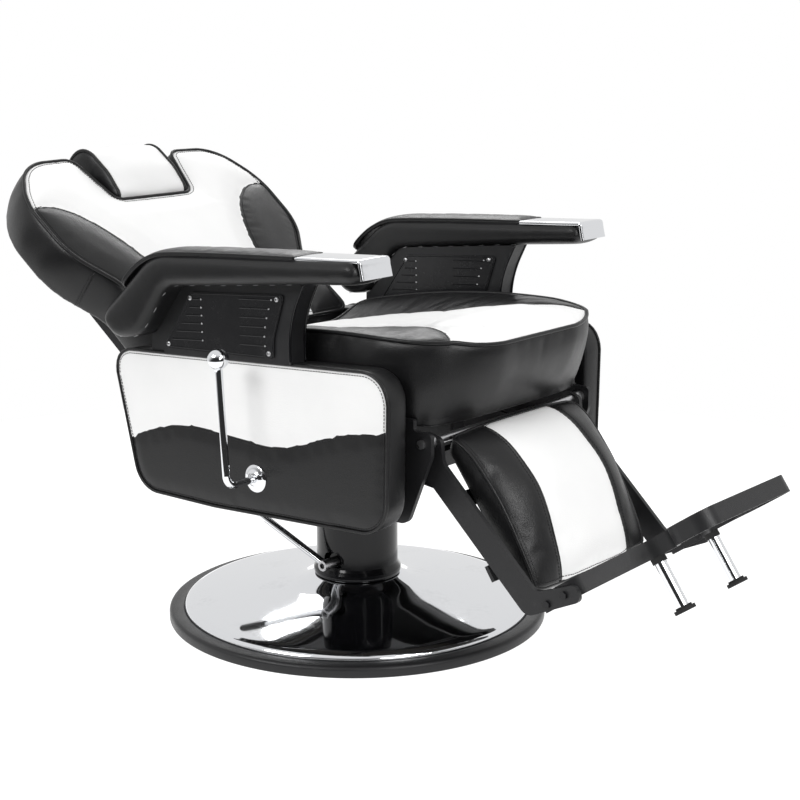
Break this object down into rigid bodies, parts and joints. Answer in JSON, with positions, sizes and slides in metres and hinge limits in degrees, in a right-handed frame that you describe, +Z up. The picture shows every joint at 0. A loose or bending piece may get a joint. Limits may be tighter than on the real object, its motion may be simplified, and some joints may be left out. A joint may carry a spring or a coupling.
{
  "type": "hydraulic barber chair",
  "caption": "Reclining barber chair on a round chrome base with a hydraulic lift, swivel, padded arms, coupled legrest with hoop footrest and a sliding headrest.",
  "frame": {"origin": "centre of the round base, on the floor", "axes": "+X forward towards the footrest, +Y to the sitter's left, +Z up"},
  "size_m": [1.4037, 0.706, 0.7821],
  "materials": {
    "black_leather": "soft black leatherette with fine grain, satin",
    "white_leather": "smooth white leatherette with fine grain, satin",
    "chrome": "polished chrome plate",
    "black_steel": "black powder coat, satin with a fine texture",
    "black_gloss": "black enamel, semi-gloss",
    "zinc_steel": "zinc-plated steel",
    "bright_steel": "ground and hard-chromed steel",
    "rubber": "black rubber, matt",
    "plywood": "birch plywood, unfinished",
    "bronze": "oiled bronze bearing metal"
  },
  "bodies": {
    "base": {"base_plate": "black_steel", "base_rim": "black_gloss", "base_dome": "chrome", "pump_cylinder": "black_steel", "pump_seal": "rubber", "pump_bolts": "zinc_steel", "column_sleeve": "black_gloss"},
    "pump_lever": {"pump_lever_hub": "chrome", "pump_lever_rod": "chrome", "pump_pedal_pad": "rubber"},
    "lift": {"lift_ram": "bright_steel", "thrust_washer": "bronze"},
    "seat": {"seat_rail_right": "black_steel", "seat_rail_left": "black_steel", "seat_mount_plate": "black_steel", "seat_cross_tubes": "black_steel", "gas_spring_bracket": "black_steel", "panel_spacers": "zinc_steel", "back_hinge_pins": "zinc_steel", "leg_hinge_rod": "zinc_steel", "leg_hinge_bushes": "zinc_steel", "seat_board": "plywood", "seat_cushion": "black_leather", "side_panel_right": "white_leather", "side_panel_left": "white_leather", "lever_escutcheon": "chrome", "arm_support_right": "black_steel", "arm_support_left": "black_steel", "arm_vent_plates": "black_steel", "vent_screws": "zinc_steel", "arm_pad_right": "black_leather", "arm_pad_left": "black_leather", "arm_top_pad_right": "black_leather", "arm_top_pad_left": "black_leather", "arm_trim_right": "chrome", "arm_trim_left": "chrome", "gas_spring_cylinder": "black_gloss"},
    "recline_lever": {"recline_lever_rod": "chrome", "recline_lever_knob": "chrome"},
    "gas_spring": {"gas_spring_rod": "bright_steel"},
    "backrest": {"backrest_cushion": "white_leather", "backrest_board": "plywood", "backrest_plates": "black_steel", "backrest_cross_tubes": "black_steel", "backrest_crank_rod": "zinc_steel", "headrest_guide": "black_steel"},
    "headrest": {"headrest_pillow": "white_leather", "headrest_bar": "chrome"},
    "links": {"recline_links": "black_steel"},
    "legrest": {"legrest_bar_right": "black_steel", "legrest_bar_left": "black_steel", "link_pins": "zinc_steel", "legrest_cushion": "black_leather", "legrest_board": "plywood", "legrest_cross_bars": "black_steel", "footrest_hoop": "black_steel", "footrest_posts": "chrome", "footrest_rubbers": "rubber", "footrest_bolts": "black_steel"}
  },
  "joints": [
    {"name": "lift", "type": "slide", "parent": "base", "child": "lift", "axis": [0, 0, 1], "range_m": [0, 0.15]},
    {"name": "swivel", "type": "hinge", "parent": "lift", "child": "seat", "pos_m": [0, 0, 0.262], "axis": [0, 0, 1], "continuous": true},
    {"name": "pump_lever", "type": "hinge", "parent": "base", "child": "pump_lever", "pos_m": [0.005, 0, 0.105], "axis": [0, -1, 0], "range_deg": [0, 22], "stiffness_Nm_per_rad": 12, "springref_deg": -20.05},
    {"name": "recline", "type": "hinge", "parent": "seat", "child": "backrest", "pos_m": [-0.2, 0, 0.445], "axis": [0, 1, 0], "range_deg": [0, 44]},
    {"name": "legrest", "type": "hinge", "parent": "seat", "child": "legrest", "pos_m": [0.318, 0, 0.394], "axis": [0, 1, 0], "range_deg": [0, 33]},
    {"name": "link", "type": "hinge", "parent": "backrest", "child": "links", "pos_m": [-0.17827, 0, 0.39122], "axis": [0, 1, 0], "range_deg": [-44, 0]},
    {"name": "gas_spring", "type": "slide", "parent": "seat", "child": "gas_spring", "axis": [1, 0, 0], "range_m": [-0.04365, 0]},
    {"name": "headrest", "type": "slide", "parent": "backrest", "child": "headrest", "axis": [-0.7891, 0, 0.6143], "range_m": [0, 0.07]},
    {"name": "recline_lever", "type": "hinge", "parent": "seat", "child": "recline_lever", "pos_m": [0.037, 0, 0.307], "axis": [0, -1, 0], "range_deg": [0, 22], "stiffness_Nm_per_rad": 3, "springref_deg": -11.46}
  ],
  "couplings": [
    {"joint": "legrest", "follows": "recline", "ratio": 0.75},
    {"joint": "link", "follows": "recline", "ratio": -1},
    {"joint": "gas_spring", "follows": "recline", "m_per_rad": -0.05659}
  ]
}
